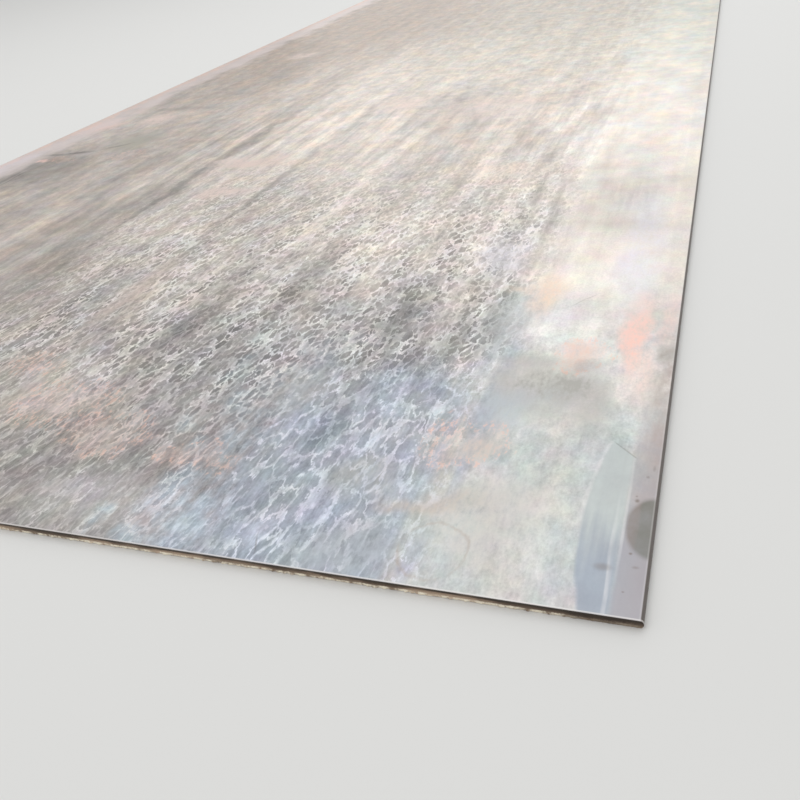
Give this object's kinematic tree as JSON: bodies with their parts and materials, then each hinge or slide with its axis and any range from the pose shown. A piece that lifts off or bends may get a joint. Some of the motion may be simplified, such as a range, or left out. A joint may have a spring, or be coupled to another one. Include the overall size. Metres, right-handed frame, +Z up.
{
  "type": "steel plate",
  "caption": "Flat hot-rolled steel plate with rounded mill edges along both sides and sheared ends, raw stock for cutting, bending and welding.",
  "frame": {"origin": "middle of the underside, on the surface that the plate lies on", "axes": "+Y along the plate's length and rolling direction, +X across its width, +Z up through its thickness"},
  "size_m": [2, 6, 0.01],
  "materials": {
    "mill_scale_steel": "as rolled: blue-grey mill scale with a pale dried network, streaks along the rolling direction and blooms of orange rust, satin"
  },
  "bodies": {
    "root": {"steel_plate": "mill_scale_steel"}
  },
  "joints": []
}
